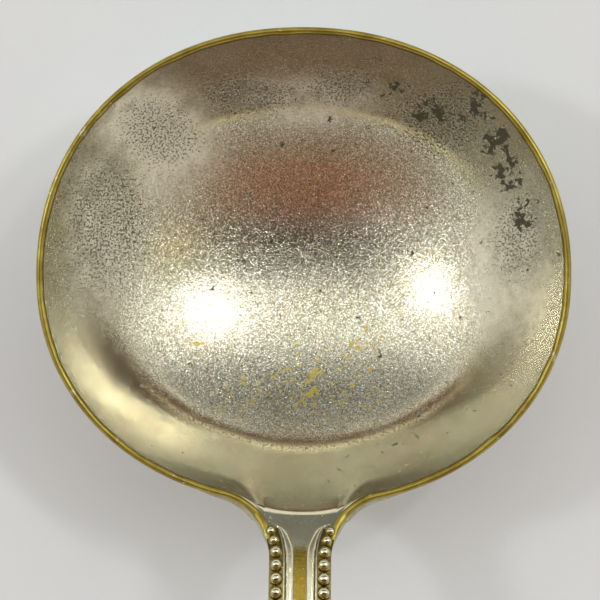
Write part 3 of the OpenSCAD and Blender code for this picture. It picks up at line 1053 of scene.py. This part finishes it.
def bead_look(look):
    """Bright on top of each bead, brass on its shoulders, darker low down in the gaps and on the strip
    under the beads.
    """
    mm = look.object_mm()
    ragged = look.all_of(look.maths("SUBTRACT", look.noise(mm, 0.5, 3, 0.6, 1), 0.5), 0.5)
    height = look.maths("ADD", look.attribute("crown"), ragged)
    color, roughness = plate_base(look, mm, 0.5)
    brass = look.blend(look.noise(mm, 0.9, 3, 0.6, 2), BRASS, BRASS_DEEP)
    color = look.blend(look.all_of(look.ramp(height, 0.92, 0.66), 0.9), color, brass)
    # darker towards the low sides of the beads and on the strip under them
    color = look.blend(look.all_of(look.ramp(height, 0.15, -0.3), 0.45), color, TARNISH)
    fine = look.noise(mm, 0.14, 2, 0.6, 3)
    look.surface(color, roughness, look.bump(fine, BEAD_RELIEF * MM))


# ------------------------------------------------------------------ the object
bowl_material = new_material("bowl_plate", bowl_look)
handle_material = new_material("handle_plate", handle_look)
bead_material = new_material("bead_plate", bead_look)
build_bowl(bowl_material)
build_rim_wire(new_material("bare_brass", brass_look))
build_heel_drop(new_material("back_plate", back_look))
build_stem(handle_material)
build_thread(-1, "thread_wire_left", "thread_left", handle_material)
build_thread(1, "thread_wire_right", "thread_right", handle_material)
build_bead_row(-1, "beads_left", "bead_row_left", bead_material)
build_bead_row(1, "beads_right", "bead_row_right", bead_material)
build_tip_bead(bead_material)


# ------------------------------------------------------------------ table, light and camera
PAPER_DARK, PAPER_LIGHT = (0.65, 0.685, 0.73, 1), (0.695, 0.73, 0.775, 1)
TABLE_GAP = 0.02                   # the table lies this far under the spoon, in mm


def table_look(look):
    mm = look.object_mm()
    tone = look.blend(look.noise(mm, 22, 4, 0.55, 1), PAPER_DARK, PAPER_LIGHT)
    fibre = look.noise(mm, 1.2, 3, 0.6, 2)
    look.surface(tone, 0.75, look.bump(fibre, PAPER_RELIEF * MM), 0.0)


def build_table():
    half, cells = 1.2, 8           # half the table's side in metres, and squares along it
    bm = bmesh.new()
    bmesh.ops.create_grid(bm, x_segments=cells, y_segments=cells, size=half)
    mesh = bpy.data.meshes.new("table_top")
    bm.to_mesh(mesh)
    bm.free()
    mesh.materials.append(new_material("table_paper", table_look))
    table = bpy.data.objects.new("table_top", mesh)
    table.location.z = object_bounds()[0][2] - TABLE_GAP * MM
    bpy.context.scene.collection.objects.link(table)


def from_zenith(right, forward):
    """Unit direction tilted from straight up by degrees to +X and by degrees to +Y."""
    return Vector((tan(radians(right)), tan(radians(forward)), 1)).normalized()


BOWL_CENTRE = Vector((0, OVAL_Y, RIM_Z)) * MM


LAMP_DISTANCE = 0.9                # metres from the bowl
# name, degrees from straight up to +X and to +Y, width in metres, watts, and colour
LAMPS = [("lamp_right", 34, 19, 0.10, 0.9, (1.0, 0.98, 0.95)),
         ("lamp_right_far", 27.5, 28, 0.06, 0.6, (1.0, 0.98, 0.95)),
         ("lamp_left", -44.5, 12, 0.10, 1.25, (1.0, 0.99, 0.97))]


def add_lamp(name, right, forward, size, power, tint):
    data = bpy.data.lights.new(name, "AREA")
    data.shape = "DISK"
    data.size = size
    data.energy = power
    data.color = tint
    lamp = bpy.data.objects.new(name, data)
    away = from_zenith(right, forward)
    lamp.location = BOWL_CENTRE + away * LAMP_DISTANCE
    lamp.rotation_euler = away.to_track_quat("Z", "Y").to_euler()
    bpy.context.scene.collection.objects.link(lamp)


ROOM_BASE = (0.98, 0.94, 0.87, 1)
HORIZON, HORIZON_FROM, HORIZON_FULL = (1.35, 1.31, 1.2, 1), 69, 76  # its colour, and degrees from up
# soft patches of the room: degrees from straight up to +X and to +Y, half sizes, and colour
ROOM = [((0, -42), (104, 46), (0.46, 0.42, 0.36)),        # dimmer side of the room, past the handle
        ((0, 61), (88, 33), (0.26, 0.27, 0.26)),         # its far side
        ((0, 25), (110, 20), (1.74, 1.71, 1.60)),        # pale ceiling, a band from side to side
        ((0, -31), (60, 33), (0.40, 0.17, 0.10)),        # whoever stands at the handle
        ((6, -3), (74, 22), (0.04, 0.04, 0.035)),        # the camera held over the bowl
        ((46, -4), (9, 5), (2.4, 2.0, 0.5))]             # a small yellow light


def build_sky():
    """The room as the bowl mirrors it: soft pale light, with one darker side."""
    world = bpy.data.worlds.new("room")
    bpy.context.scene.world = world
    world.use_nodes = True
    look = Look(world.node_tree)
    way = look.vector("NORMALIZE", look.node("ShaderNodeTexCoord").outputs["Generated"])
    tilt = look.maths("MULTIPLY", look.maths("ARCCOSINE", look.parts(way)["Z"]), 180 / pi)
    level = look.vector("NORMALIZE", look.vector("MULTIPLY", way, (1, 1, 0)))
    place = look.vector("SCALE", level, tilt)
    color = ROOM_BASE
    for middle, half, tint in ROOM:
        color = look.blend(look.patches(place, [middle + half]), color, tint + (1,))
    color = look.blend(look.ramp(tilt, HORIZON_FROM, HORIZON_FULL), color, HORIZON)
    backdrop = look.node("ShaderNodeBackground", Color=color, Strength=1.0)
    out = look.node("ShaderNodeOutputWorld")
    look.tree.links.new(backdrop.outputs["Background"], out.inputs["Surface"])


def build_camera():
    """Nearly straight above the bowl, turned a little, with the first of the handle in view."""
    height, field = 0.20, 0.0671   # metres above the rim, and metres of the rim's plane in view
    roll = radians(0.75)
    aim = BOWL_CENTRE + Vector((-0.39, -2.8, 0)) * MM
    data = bpy.data.cameras.new("camera")
    data.sensor_width = 36
    data.lens = 36 * height / field
    data.clip_start = 0.005
    camera = bpy.data.objects.new("camera", data)
    camera.location = aim + Vector((0, 0, height))
    camera.rotation_euler = (0, 0, roll)
    bpy.context.scene.collection.objects.link(camera)
    bpy.context.scene.camera = camera


build_table()
build_sky()
for lamp_settings in LAMPS:
    add_lamp(*lamp_settings)
build_camera()
bpy.context.scene.view_settings.view_transform = "Standard"
